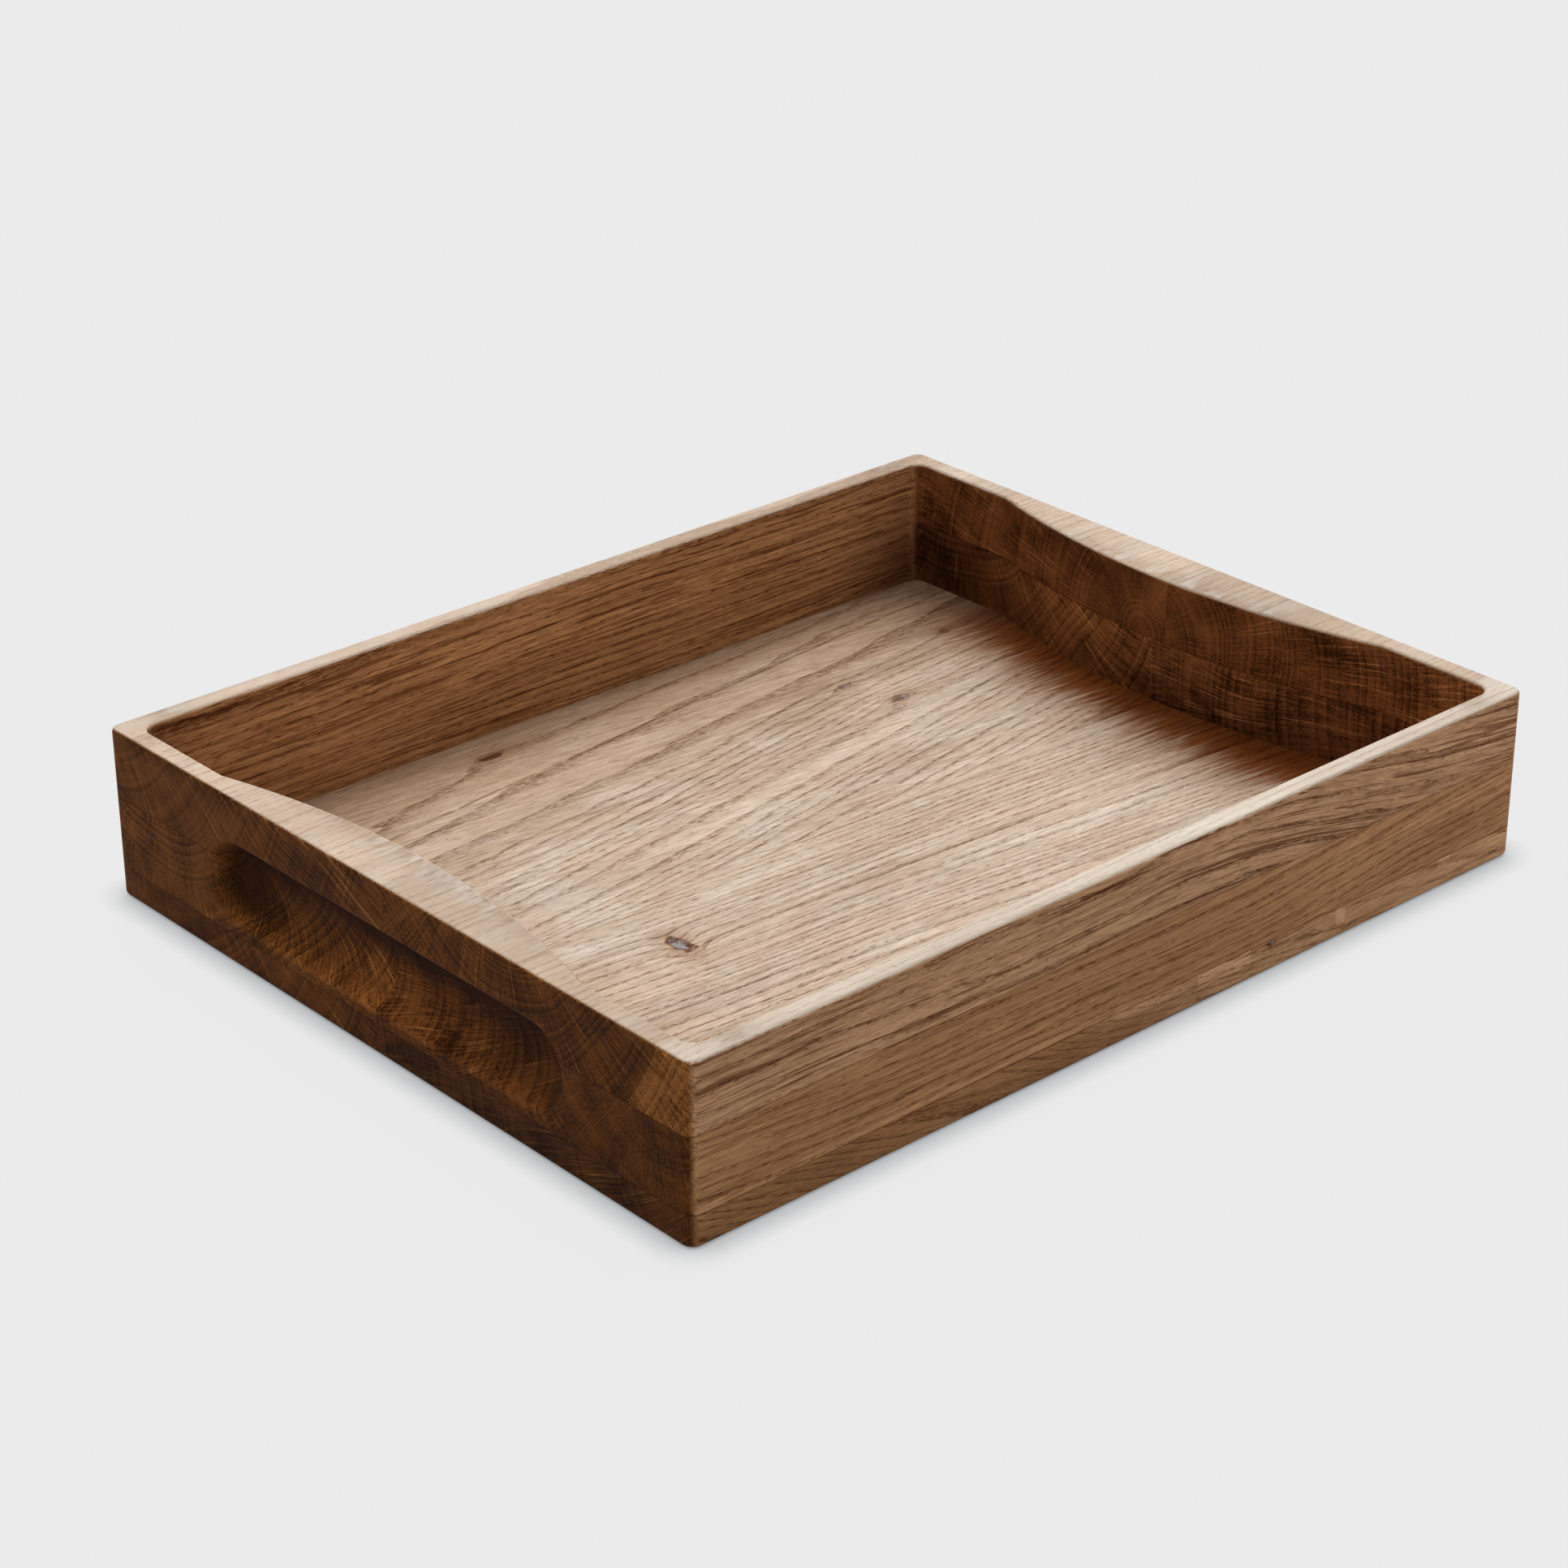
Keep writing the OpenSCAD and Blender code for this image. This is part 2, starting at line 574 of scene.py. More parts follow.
@dataclass(frozen=True)
class OakFinish:
    """Oiled oak, as all staves share it."""

    long_grain: LongGrain = LongGrain()
    end_grain: EndGrain = EndGrain()
    wear_and_light: WearAndPaintedLight = WearAndPaintedLight()
    wander: Figure = Figure(260.0, 60.0, 60.0, 1.0)
    wander_mm: float = 12.0
    ripple: Figure = Figure(34.0, 6.0, 6.0, 1.0)
    ripple_mm: float = 1.6
    ring_jitter: float = 4.0
    ring_jitter_span: float = 6.0
    early_end: float = 0.45
    roughness: float = 0.62
    pore_roughness: float = 0.2
    specular: float = 0.05
    pore_depth_mm: float = 0.06
    fibre_depth_mm: float = 0.03


class Oak:
    """Solid oak of one stave."""

    END_GRAIN_SLANT: Span = (0.35, 0.8)
    TOP_RISE: Span = (0.55, 0.95)
    OUTSIDE_MM: Span = (0.0, 50.0)
    GLUE_LEVELS_MM: Span = (10.5, 34.5)
    KNOT_RAGGED: Figure = Figure(3.2, 2.4, 2.4, 2.0)
    KNOT_RAGGEDNESS: float = 3.0
    KNOT_HEART: Span = (0.10, 0.18)
    KNOT_EDGE: Span = (0.14, 0.32)
    KNOT_PATCHES: Span = (0.40, 0.56)
    KNOT_HALO: Colour = (0.72, 0.58, 0.48)
    KNOT_BARK: Colour = (0.30, 0.20, 0.16)
    KNOT_GREY: Colour = (0.34, 0.32, 0.32)

    def __init__(self, name: str, wood: Wood, finish: OakFinish, has_floor: bool) -> None:
        """Starts a material for one stave.

        Args:
            name: name of the material.
            wood: wood of this stave.
            finish: oak that all staves share.
            has_floor: whether the tray's floor is cut into this stave.
        """
        self.wood = wood
        self.finish = finish
        self.has_floor = has_floor
        self.seed = wood.growth.seed
        self.material = bpy.data.materials.new(name)
        self.material.use_nodes = True
        self.material.node_tree.nodes.clear()
        self.bench = Bench(self.material.node_tree)
        self.coordinates = self.bench.node("ShaderNodeTexCoord")
        spot = self.bench.parts(self.coordinates.outputs["Object"])
        self.spot = Place(*(part * MM_PER_METRE for part in spot))
        self.slant, _, self.rise = self.bench.parts(self.coordinates.outputs["Normal"])
        self.outside = self.bench.ramp(self.spot.x * self.slant, *self.OUTSIDE_MM)
        self.grip = self._in_grip()
        self.end, self.top = self._facing()
        self.side = self.top.or_more(self.end).flipped()
        self.grain = self._wandering()
        self.fibres = self._straightened()
        self.radius, self.angle = self._round_pith()
        self.halos = tuple(self._knot_halo(knot) for knot in wood.knots)

    def _facing(self) -> Tuple[Signal, Signal]:
        """How the surface lies in the wood.

        Returns:
            How far it is cut across the grain and how far it faces up, from 0 to 1 each. The inner edge of
            the rim counts as facing up, and so takes the paler top colour as a painted highlight.
        """
        bench = self.bench
        # Painted highlight: the rim's inner edge takes the paler top colour.
        pale_rim_edge = bench.ramp(self.spot.z, *self.finish.wear_and_light.rim_mm) * self.outside.flipped()
        end = bench.ramp(self.slant.size(), *self.END_GRAIN_SLANT) * pale_rim_edge.flipped()
        end = end.or_more(self.grip)
        top = (bench.ramp(self.rise, *self.TOP_RISE) * end.flipped()).or_more(pale_rim_edge)
        return end, top

    def _in_grip(self) -> Signal:
        """Tells the finger grips, where every slant shows end grain, from the rest.

        Returns:
            One inside the grips and zero elsewhere.
        """
        wear_and_light = self.finish.wear_and_light
        rise = (self.spot.z - wear_and_light.grip_middle_z_mm).size() / wear_and_light.grip_half_z_mm
        reach = rise.or_more(self.spot.y.size() / wear_and_light.grip_half_y_mm)
        inside = self.bench.ramp(reach, *wear_and_light.grip_edge).flipped() * self.outside
        return inside * self.bench.ramp(self.spot.x.size(), *wear_and_light.grip_x_mm)

    def _wandering(self) -> Place:
        """Follows the grain where it wanders.

        Returns:
            Point of straight-grained wood that the point of wandering grain stands for.
        """
        bench, finish = self.bench, self.finish
        red, green, _ = bench.parts(bench.noise(self.spot, finish.wander, self.seed).outputs["Color"])
        ripple = bench.figure(self.spot, finish.ripple, self.seed).centred() * finish.ripple_mm
        ripple = ripple * self.end.flipped()
        across = red.centred() * finish.wander_mm + ripple
        up = green.centred() * finish.wander_mm + ripple - self._climb()
        return Place(self.spot.x, self.spot.y + across, self.spot.z + up)

    def _climb(self) -> Amount:
        """How far the lines on the stave's sides have climbed along their bend.

        Returns:
            The height in millimetres.
        """
        bend = self.wood.growth.bend
        if bend is None:
            return 0.0
        share = self.bench.ramp(self.spot.x, bend.from_mm, bend.full_mm) * self.side
        return (self.spot.x - bend.from_mm) * share * bend.lean

    def _straightened(self) -> Place:
        """Point of wood whose fibres run straight along X, for fibres that lean on the tray's floor."""
        lean = self.spot.x * self.top * self.wood.growth.fibre_lean
        return Place(self.grain.x, self.grain.y - lean, self.grain.z)

    def _pith_place(self, along: Span, across: Span) -> Signal:
        """Place of the pith on one axis, from its place and lean for long cuts and for end cuts."""
        (start, start_lean), (end, end_lean) = along, across
        return self.spot.x * self.end.between(start_lean, end_lean) + self.end.between(start, end)

    def _round_pith(self) -> Tuple[Signal, Signal]:
        """Measures from the pith.

        Returns:
            Distance from the pith in millimetres, and angle round it.
        """
        along, across = self.wood.growth.along, self.wood.growth.across
        pith_y = self._pith_place((along.y_mm, along.lean_y), (across.y_mm, across.lean_y))
        pith_z = self._pith_place((along.z_mm, along.lean_z), (across.z_mm, across.lean_z))
        off_y = self.grain.y - pith_y
        off_z = self.grain.z - pith_z
        radius = self.bench.work(Operation.ROOT, off_y * off_y + off_z * off_z)
        return radius, self.bench.work(Operation.ANGLE, off_z, off_y)

    def _knot_reach(self, knot: Knot) -> Signal:
        """Measures from a knot.

        Args:
            knot: one of the stave's knots.

        Returns:
            Square of the distance from it, in knot sizes.
        """
        spot = self.spot.z if knot.in_side else self.spot.y
        along = (self.spot.x - knot.x_mm) / knot.long_mm
        across = (spot - knot.across_mm) / knot.wide_mm
        return along * along + across * across

    def _knot_halo(self, knot: Knot) -> Signal:
        """How far the wood round a knot belongs to it, from 0 to 1."""
        return self.bench.work(Operation.POWER_OF_E, self._knot_reach(knot).negated())

    def _rings(self) -> Tuple[Signal, Signal]:
        """Growth rings, bent round the knots.

        Returns:
            Time of year at which the wood grew, from 0 to 1, and each ring's own shade from 0 to 1.
        """
        growth, finish = self.wood.growth, self.finish
        jitter = self.bench.slow_line(self.radius, growth.ring_mm * finish.ring_jitter_span, self.seed)
        years = self.radius / growth.ring_mm + jitter.centred() * finish.ring_jitter
        for knot, halo in zip(self.wood.knots, self.halos):
            years = years + halo * knot.pull
        shade = self.bench.lot(self.bench.work(Operation.WHOLE, years) + self.seed)
        return self.bench.work(Operation.PART, years), shade

    def _long_tint(self, early: Signal, year: Signal, fibre: Signal) -> Socket:
        """Light and dark of the long grain.

        Args:
            early: earlywood, from 0 to 1.
            year: shade of the ring, from 0 to 1.
            fibre: fine lines along the grain, about zero.

        Returns:
            A colour to multiply the wood's tone by.
        """
        bench, grain, strength = self.bench, self.finish.long_grain, self.wood.strength
        streak = bench.figure(self.fibres, grain.streak, self.seed).centred()
        cloud = bench.figure(self.spot, grain.cloud, self.seed).centred()
        lines = fibre * grain.fibre_weight + streak * grain.streak_weight
        lines = lines + year.centred() * grain.year_weight - early.centred() * grain.early_weight
        lines = lines * self.top.between(strength.side, strength.top)
        return bench.mix(lines + cloud * grain.cloud_weight + HALF, grain.deep, grain.pale)

    def _end_tint(self, age: Signal, year: Signal) -> Socket:
        """Light and dark of the end grain.

        Args:
            age: time of year, from 0 to 1.
            year: shade of the ring, from 0 to 1.

        Returns:
            A colour to multiply the wood's tone by.
        """
        bench, grain = self.bench, self.finish.end_grain
        fan = Place(self.spot.x, self.angle * grain.fine_fan, self.radius)
        fine = bench.figure(fan, grain.fine_ray, self.seed).centred()
        speck = bench.figure(self.spot, grain.speck, self.seed).centred()
        cloud = bench.figure(self.spot, grain.cloud, self.seed).centred()
        light = fine * grain.fine_weight + speck * grain.speck_weight + cloud * grain.cloud_weight
        light = light - age.centred() * year * grain.ring_weight
        return bench.mix(light + HALF, grain.deep, grain.pale)

    def _by_cut(self, tones: Tones) -> Socket:
        """The one of three colours that fits how the wood is cut."""
        return self.bench.mix(self.end, self.bench.mix(self.top, tones.side, tones.top), tones.end)

    def _sapped(self, tone: Socket) -> Socket:
        """Wood with its sapwood.

        Args:
            tone: colour so far.

        Returns:
            The colour, paler far from the pith.
        """
        bench, sap = self.bench, self.wood.sapwood
        if sap is None:
            return tone
        spread = bench.ramp(self.spot.x, *self.finish.wear_and_light.far_end_mm) * self.end * sap.far_blend_mm
        share = bench.ramp(self.radius, sap.from_mm - sap.blend_mm, spread + sap.from_mm)
        return bench.mix(share, tone, self._by_cut(sap.tones))

    def _end_grain_lit_and_shaded(self, tone: Socket) -> Socket:
        """End grain with painted light and shade.

        Args:
            tone: colour so far.

        Returns:
            The colour: painted shade and light by end on the outside, and painted light by stave inside.
        """
        bench, wear_and_light = self.bench, self.finish.wear_and_light
        # Painted shade at the near end and painted light at the far end of the outside.
        far = bench.ramp(self.spot.x, *wear_and_light.far_end_mm)
        end_light_tint = bench.mix(far, wear_and_light.near_end_shaded_tone, wear_and_light.far_end_lit_tone)
        tone = bench.mix(self.outside * self.end, tone, end_light_tint, Blend.STAIN)
        # Painted light on the end grain inside the tray, brighter as if lit by the floor.
        return bench.mix(self.outside.flipped() * self.end, tone, self.wood.inner_painted_light, Blend.STAIN)

    def _rubbed_and_sheened(self, tone: Socket) -> Socket:
        """Wood that is paler in clouds where it faces up, partly from rubbing and partly as a painted sheen.

        Args:
            tone: colour so far.

        Returns:
            The colour, paler in those clouds.
        """
        bench, wear_and_light = self.bench, self.finish.wear_and_light
        rub = bench.ramp(bench.figure(self.spot, wear_and_light.rub, self.seed), *wear_and_light.rub_range)
        # Pale clouds on top faces: partly rubbing, partly painted sheen.
        return bench.mix(rub * self.top * wear_and_light.rub_share, tone, wear_and_light.rub_and_sheen_colour)

    def _crested(self, tone: Socket) -> Socket:
        """Wood with the handled crests of the swollen ends.

        Args:
            tone: colour so far.

        Returns:
            The colour, darker along the crests and scuffed there.
        """
        bench, wear_and_light = self.bench, self.finish.wear_and_light
        reach = self.spot.x.size()
        crest = bench.ramp(reach, *wear_and_light.scuff_from_mm) * bench.ramp(reach, *wear_and_light.scuff_to_mm).flipped()
        crest = crest * bench.ramp(self.rise, *wear_and_light.scuff_flat)
        scuff = bench.ramp(bench.figure(self.spot, wear_and_light.scuff, self.seed), *wear_and_light.scuff_range)
        tone = bench.mix(crest, tone, wear_and_light.crest_tone, Blend.STAIN)
        return bench.mix(scuff * crest * wear_and_light.scuff_share, tone, wear_and_light.scuff_colour)

    def _bordered(self, tone: Socket) -> Socket:
        """Wood with painted shade at the floor's border, where the walls shade it.

        Args:
            tone: colour so far.

        Returns:
            The colour, darker towards the ends and the back of the floor.
        """
        bench, wear_and_light = self.bench, self.finish.wear_and_light
        along = bench.ramp(self.spot.x.size(), *wear_and_light.border_x_mm)
        across = bench.ramp(self.spot.y, *wear_and_light.border_y_mm)
        border = along.or_more(across) * self.top * wear_and_light.border_share
        # Painted shade along the floor's border.
        return bench.mix(border, tone, wear_and_light.border_painted_shade, Blend.STAIN)

    def _streaked(self, tone: Socket) -> Socket:
        """Wood with a painted shadow on the floor along the far end: a dark streaky strip.

        Args:
            tone: colour so far.

        Returns:
            The colour, darker along the fibres that run into the strip.
        """
        bench, wear_and_light = self.bench, self.finish.wear_and_light
        streak = bench.figure(self.fibres, wear_and_light.strip_streak, self.seed).centred() * wear_and_light.strip_streak_mm
        turn = bench.ramp(self.spot.y, *wear_and_light.strip_turn_mm) * wear_and_light.strip_shift_mm
        strip = bench.ramp(self.spot.x + streak - turn, *wear_and_light.strip_mm) * self.top
        strip = strip * bench.ramp(self.spot.y, *wear_and_light.strip_back_mm).flipped()
        # Painted shadow of the far end on the floor.
        return bench.mix(strip, tone, wear_and_light.strip_painted_shadow, Blend.STAIN)

    def _recessed(self, tone: Socket) -> Socket:
        """Wood with painted shade inside the far end, at its foot and beside its swelling.

        Args:
            tone: colour so far.

        Returns:
            The colour with that shade.
        """
        bench, wear_and_light = self.bench, self.finish.wear_and_light
        foot = bench.ramp(self.spot.z, *wear_and_light.recess_foot_mm).flipped() * wear_and_light.recess_foot_share
        recess = bench.ramp(self.spot.y, *wear_and_light.recess_y_mm).or_more(foot) * self.outside.flipped()
        recess = recess * self.end * bench.ramp(self.spot.x, *wear_and_light.far_end_mm)
        # Painted shade inside the far end.
        return bench.mix(recess, tone, wear_and_light.recess_painted_shade, Blend.STAIN)

    def _plain_tone(self) -> Socket:
        """Colour of the wood before its figure.

        Returns:
            A colour by cut, by sapwood, by marks of use and by painted light and shade.
        """
        tone = self._by_cut(self.wood.tones)
        marks_and_painted_shade = (self._bordered, self._streaked, self._recessed) if self.has_floor else (self._crested,)
        for lay in (self._sapped, self._end_grain_lit_and_shaded, self._rubbed_and_sheened, *marks_and_painted_shade):
            tone = lay(tone)
        return tone

    def _pores(self, early: Signal) -> Signal:
        """Open pores of the long grain, crowded in broken rows where the earlywood is.

        Args:
            early: earlywood, from 0 to 1.

        Returns:
            A signal from 0 to 1.
        """
        bench, grain = self.bench, self.finish.long_grain
        crowd = early * bench.figure(self.grain, grain.row, self.seed) * grain.pore_row
        start = crowd.negated() + grain.pore_start
        pore = bench.ramp(bench.figure(self.fibres, grain.pore, self.seed), start, start + grain.pore_edge)
        return pore * self.end.flipped()

    def _lined(self, tone: Socket) -> Socket:
        """Wood with a dark growth line along the floor.

        Args:
            tone: colour so far.

        Returns:
            The colour with that line, if the stave has one.
        """
        line = self.wood.line
        if line is None:
            return tone
        bench = self.bench
        off = self.grain.y - self.spot.x * line.lean - line.y_mm
        row = bench.ramp(off.size(), *line.wide_mm).flipped() * self.top
        row = row * bench.ramp(bench.figure(self.fibres, line.dash, self.seed), *line.dash_range)
        return bench.mix(row, tone, line.shade, Blend.STAIN)

    def _patched(self, tone: Socket) -> Socket:
        """Wood with the pale patches on the stave's side: flecks, and painted light towards the far end.

        Args:
            tone: colour so far.

        Returns:
            The colour with those patches.
        """
        bench = self.bench
        for patch in self.wood.patches:
            axes = zip((self.spot.x, self.spot.z), patch.middle_mm, patch.half_mm, patch.soft_mm)
            past_x, past_z = (
                bench.ramp((spot - middle).size() - half, 0.0, soft) for spot, middle, half, soft in axes
            )
            share = past_x.or_more(past_z).flipped() * self.side
            tone = bench.mix(share, tone, patch.tint, Blend.STAIN)
        return tone

    def _veined(self, tone: Socket) -> Socket:
        """Wood with long dark veins at the sides of the stave.

        Args:
            tone: colour so far.

        Returns:
            The colour with those veins.
        """
        bench, grain = self.bench, self.finish.long_grain
        vein = bench.ramp(bench.figure(self.grain, grain.vein, self.seed), *grain.vein_range)
        share = vein * self.side * self.wood.strength.veins
        return bench.mix(share, tone, grain.vein_shade, Blend.STAIN)

    def _rayed(self, tone: Socket) -> Socket:
        """Wood with the large bright rays of its end grain.

        Args:
            tone: colour so far.

        Returns:
            The colour with those rays.
        """
        bench, grain = self.bench, self.finish.end_grain
        fan = Place(self.spot.x, self.angle * grain.fan, self.radius)
        ray = bench.ramp(bench.figure(fan, grain.ray, self.seed), *grain.ray_range)
        return bench.mix(ray * self.end, tone, grain.ray_shade, Blend.STAIN)

    def _gripped(self, tone: Socket) -> Socket:
        """Wood with the painted light and shade of the finger grips.

        Args:
            tone: colour so far.

        Returns:
            The colour: painted shade high up and at one end, painted light in the bowl and a painted
                highlight at the lip.
        """
        bench, wear_and_light = self.bench, self.finish.wear_and_light
        deep = bench.ramp(self.spot.x.size(), *wear_and_light.grip_deep_mm).flipped() * self.grip
        high = bench.ramp(self.spot.z, *wear_and_light.grip_high_mm)
        off = (self.spot.y * self.spot.x / self.spot.x.size() - wear_and_light.grip_shift_mm).size()
        shade = high.or_more(bench.ramp(off, *wear_and_light.grip_ends_mm))
        # Painted shade high in the grip and at its one end.
        tone = bench.mix(deep * shade, tone, wear_and_light.grip_painted_shade, Blend.STAIN)
        # Painted light on the grip's bowl.
        bowl = bench.ramp((self.spot.z - wear_and_light.bowl_z_mm).size(), *wear_and_light.bowl_high_mm).flipped() * self.grip
        bowl = bowl * bench.ramp(off, *wear_and_light.bowl_wide_mm).flipped()
        tone = bench.mix(bowl, tone, wear_and_light.bowl_painted_light, Blend.STAIN)
        # Painted highlight along the grip's lower lip.
        lip = bench.ramp((self.spot.z - wear_and_light.lip_z_mm).size(), *wear_and_light.lip_mm).flipped() * self.grip
        return bench.mix(lip, tone, wear_and_light.lip_painted_highlight, Blend.STAIN)

    def _nooked(self, tone: Socket) -> Socket:
        """Wood with painted shade on the back wall's inside, close to the far corner of the floor.

        Args:
            tone: colour so far.

        Returns:
            The colour with that shade.
        """
        bench, wear_and_light = self.bench, self.finish.wear_and_light
        off_x = (self.spot.x - wear_and_light.nook_x_mm) * wear_and_light.nook_squeeze
        off_z = self.spot.z - wear_and_light.nook_z_mm
        reach = bench.work(Operation.ROOT, off_x * off_x + off_z * off_z)
        inside = bench.ramp(self.spot.y, *wear_and_light.nook_from_mm)
        inside = inside * bench.ramp(self.spot.y, *wear_and_light.nook_to_mm).flipped() * self.side
        share = bench.ramp(reach, *wear_and_light.nook_mm).flipped() * inside
        # Painted shade in the back wall's nook.
        return bench.mix(share, tone, wear_and_light.nook_painted_shade, Blend.STAIN)

    def _glued(self, tone: Socket) -> Socket:
        """Wood with the fine dark line of the glue where two layers meet.

        Args:
            tone: colour so far.

        Returns:
            The colour with that line.
        """
        bench, wear_and_light = self.bench, self.finish.wear_and_light
        lower, upper = ((self.spot.z - level).size() for level in self.GLUE_LEVELS_MM)
        line = bench.ramp(lower, *wear_and_light.glue_mm) * bench.ramp(upper, *wear_and_light.glue_mm)
        return bench.mix(line.flipped(), tone, wear_and_light.glue_shade, Blend.STAIN)

    def _knotted(self, tone: Socket) -> Socket:
        """Wood with its knots.

        Args:
            tone: colour so far.

        Returns:
            The colour with a halo, a ragged edge and a grey heart for each knot.
        """
        bench = self.bench
        for knot, halo in zip(self.wood.knots, self.halos):
            ragged = bench.figure(self.spot, self.KNOT_RAGGED, self.seed + knot.x_mm)
            reach = self._knot_reach(knot) * (ragged.centred() * self.KNOT_RAGGEDNESS + FULL)
            edge = bench.ramp(reach, *self.KNOT_EDGE).flipped() * knot.depth
            heart = bench.ramp(reach, *self.KNOT_HEART).flipped() * (knot.depth * knot.grey)
            heart = heart * bench.ramp(ragged, *self.KNOT_PATCHES)
            tone = bench.mix(halo * knot.depth, tone, self.KNOT_HALO, Blend.STAIN)
            tone = bench.mix(edge, tone, self.KNOT_BARK, Blend.STAIN)
            tone = bench.mix(heart, tone, self.KNOT_GREY)
        return tone

    def dress(self) -> bpy.types.Material:
        """Lays out the whole material.

        Returns:
            The finished material.
        """
        bench, finish = self.bench, self.finish
        grain = finish.long_grain
        age, year = self._rings()
        early = bench.ramp(age, 0.0, finish.early_end).flipped()
        fibre = bench.figure(self.fibres, grain.fibre, self.seed).centred()
        pore = self._pores(early)

        tint = bench.mix(self.end, self._long_tint(early, year, fibre), self._end_tint(age, year))
        tone = bench.mix(FULL, self._plain_tone(), tint, Blend.STAIN)
        pore_share = pore * self.top.between(self.wood.strength.side, self.wood.strength.top)
        tone = bench.mix(pore_share, tone, grain.pore_shade, Blend.STAIN)
        layers = (self._lined, self._patched, self._veined, self._rayed, self._gripped)
        for lay in (*layers, self._knotted, self._nooked, self._glued):
            tone = lay(tone)

        shader = bench.node("ShaderNodeBsdfPrincipled")
        bench.paint(shader.inputs["Base Color"], tone)
        bench.feed(shader.inputs["Roughness"], pore * finish.pore_roughness + finish.roughness)
        bench.feed(shader.inputs["Specular IOR Level"], finish.specular)
        bump = bench.node("ShaderNodeBump")
        bench.feed(bump.inputs["Distance"], FULL / MM_PER_METRE)
        ridges = fibre * self.end.flipped() * finish.fibre_depth_mm
        bench.feed(bump.inputs["Height"], ridges - pore * finish.pore_depth_mm)
        bench.join(bump.outputs["Normal"], shader.inputs["Normal"])
        output = bench.node("ShaderNodeOutputMaterial")
        bench.join(shader.outputs["BSDF"], output.inputs["Surface"])
        return self.material


@dataclass(frozen=True)
class Stave:
    """One stave of the tray: its place in the glue-up and its wood."""

    layer: Layer
    side: Side
    wood: Wood

    @property
    def node(self) -> str:
        """Name of the stave's CAD node."""
        return f"{self.layer.value}_{self.side.value}_stave"

    @property
    def slot(self) -> str:
        """Name of the stave's material slot in the record."""
        return f"oak_{self.layer.value}_{self.side.value}"

    def dress(self, finish: OakFinish) -> bpy.types.Object:
        """Gives the stave's CAD object its oak.

        Args:
            finish: oak that all staves share.

        Returns:
            The dressed object.
        """
        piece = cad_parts[self.node]
        material = Oak(f"{self.slot}_wood", self.wood, finish, self.layer is Layer.MIDDLE).dress()
        for slot in piece.material_slots:
            slot.material = material
        return piece


@dataclass(frozen=True)
class Tray:
    """The glued and milled block: six staves in three layers."""

    finish: OakFinish
    staves: Tuple[Stave, ...]

    def dress(self) -> None:
        """Dresses every stave and reports it."""
        for stave in self.staves:
            piece = stave.dress(self.finish)
            LOG.info("dressed %s as %s", piece.name, stave.slot)


@dataclass(frozen=True)
class Lamp:
    """Broad soft lamp, far away, so that it lights the whole floor alike."""

    name: str
    come_from: Triple
    spread_degrees: float
    level: float

    def build(self) -> bpy.types.Object:
        """Hangs the lamp; at level 1 a surface that faces it shows its colour as written.

        Returns:
            The lamp's object.
        """
        light = bpy.data.lights.new(self.name, "SUN")
        light.angle = math.radians(self.spread_degrees)
        light.energy = self.level * math.pi
        lamp = bpy.data.objects.new(self.name, light)
        lamp.rotation_euler = Vector(self.come_from).to_track_quat("Z", "Y").to_euler()
        bpy.context.scene.collection.objects.link(lamp)
        return lamp


@dataclass(frozen=True)
class StudioFloor:
    """Plain pale floor, evenly bright where it is looked at, apart from the tray's cast and painted shadow.
    """

    size: float = 12.0
    drop: float = 0.0002
    colour: Colour = (0.40, 0.40, 0.40)
    roughness: float = 1.0
    specular: float = 0.0
    glow: float = 0.87
    glow_share: float = 0.92
    contact_reach: float = 0.0100
    contact_shade: Colour = (0.19, 0.22, 0.24)

    def _paint(self) -> bpy.types.Material:
        """Matt paint that is brighter to the eye, with a painted contact shadow close to what stands on it.

        Returns:
            The finished material.
        """
        paint = bpy.data.materials.new("studio_floor_paint")
        paint.use_nodes = True
        bench = Bench(paint.node_tree)
        nodes = paint.node_tree.nodes
        matt = nodes["Principled BSDF"]
        bench.paint(matt.inputs["Base Color"], self.colour)
        bench.feed(matt.inputs["Roughness"], self.roughness)
        bench.feed(matt.inputs["Specular IOR Level"], self.specular)
        # Painted contact shadow: the glow is darker where something stands close by.
        near = bench.node("ShaderNodeAmbientOcclusion")
        bench.feed(near.inputs["Distance"], self.contact_reach)
        open_sky = Signal(bench, near.outputs["AO"])
        glow = bench.node("ShaderNodeEmission")
        bench.paint(glow.inputs["Color"], bench.mix(open_sky, self.contact_shade, WHITE))
        bench.feed(glow.inputs["Strength"], self.glow)
        mix = bench.node("ShaderNodeMixShader")
        share, below, above = mix.inputs
        bench.feed(share, bench.seen() * self.glow_share)
        bench.join(matt.outputs["BSDF"], below)
        bench.join(glow.outputs["Emission"], above)
        bench.join(mix.outputs["Shader"], nodes["Material Output"].inputs["Surface"])
        return paint

    def build(self) -> bpy.types.Object:
        """Lays the floor.

        Returns:
            The floor's object.
        """
        shape = bmesh.new()
        bmesh.ops.create_grid(shape, x_segments=1, y_segments=1, size=self.size * HALF)
        bmesh.ops.translate(shape, verts=shape.verts, vec=(0.0, 0.0, -self.drop))
        mesh = bpy.data.meshes.new("studio_floor")
        shape.to_mesh(mesh)
        shape.free()
        mesh.materials.append(self._paint())
        floor = bpy.data.objects.new("studio_floor", mesh)
        bpy.context.scene.collection.objects.link(floor)
        return floor


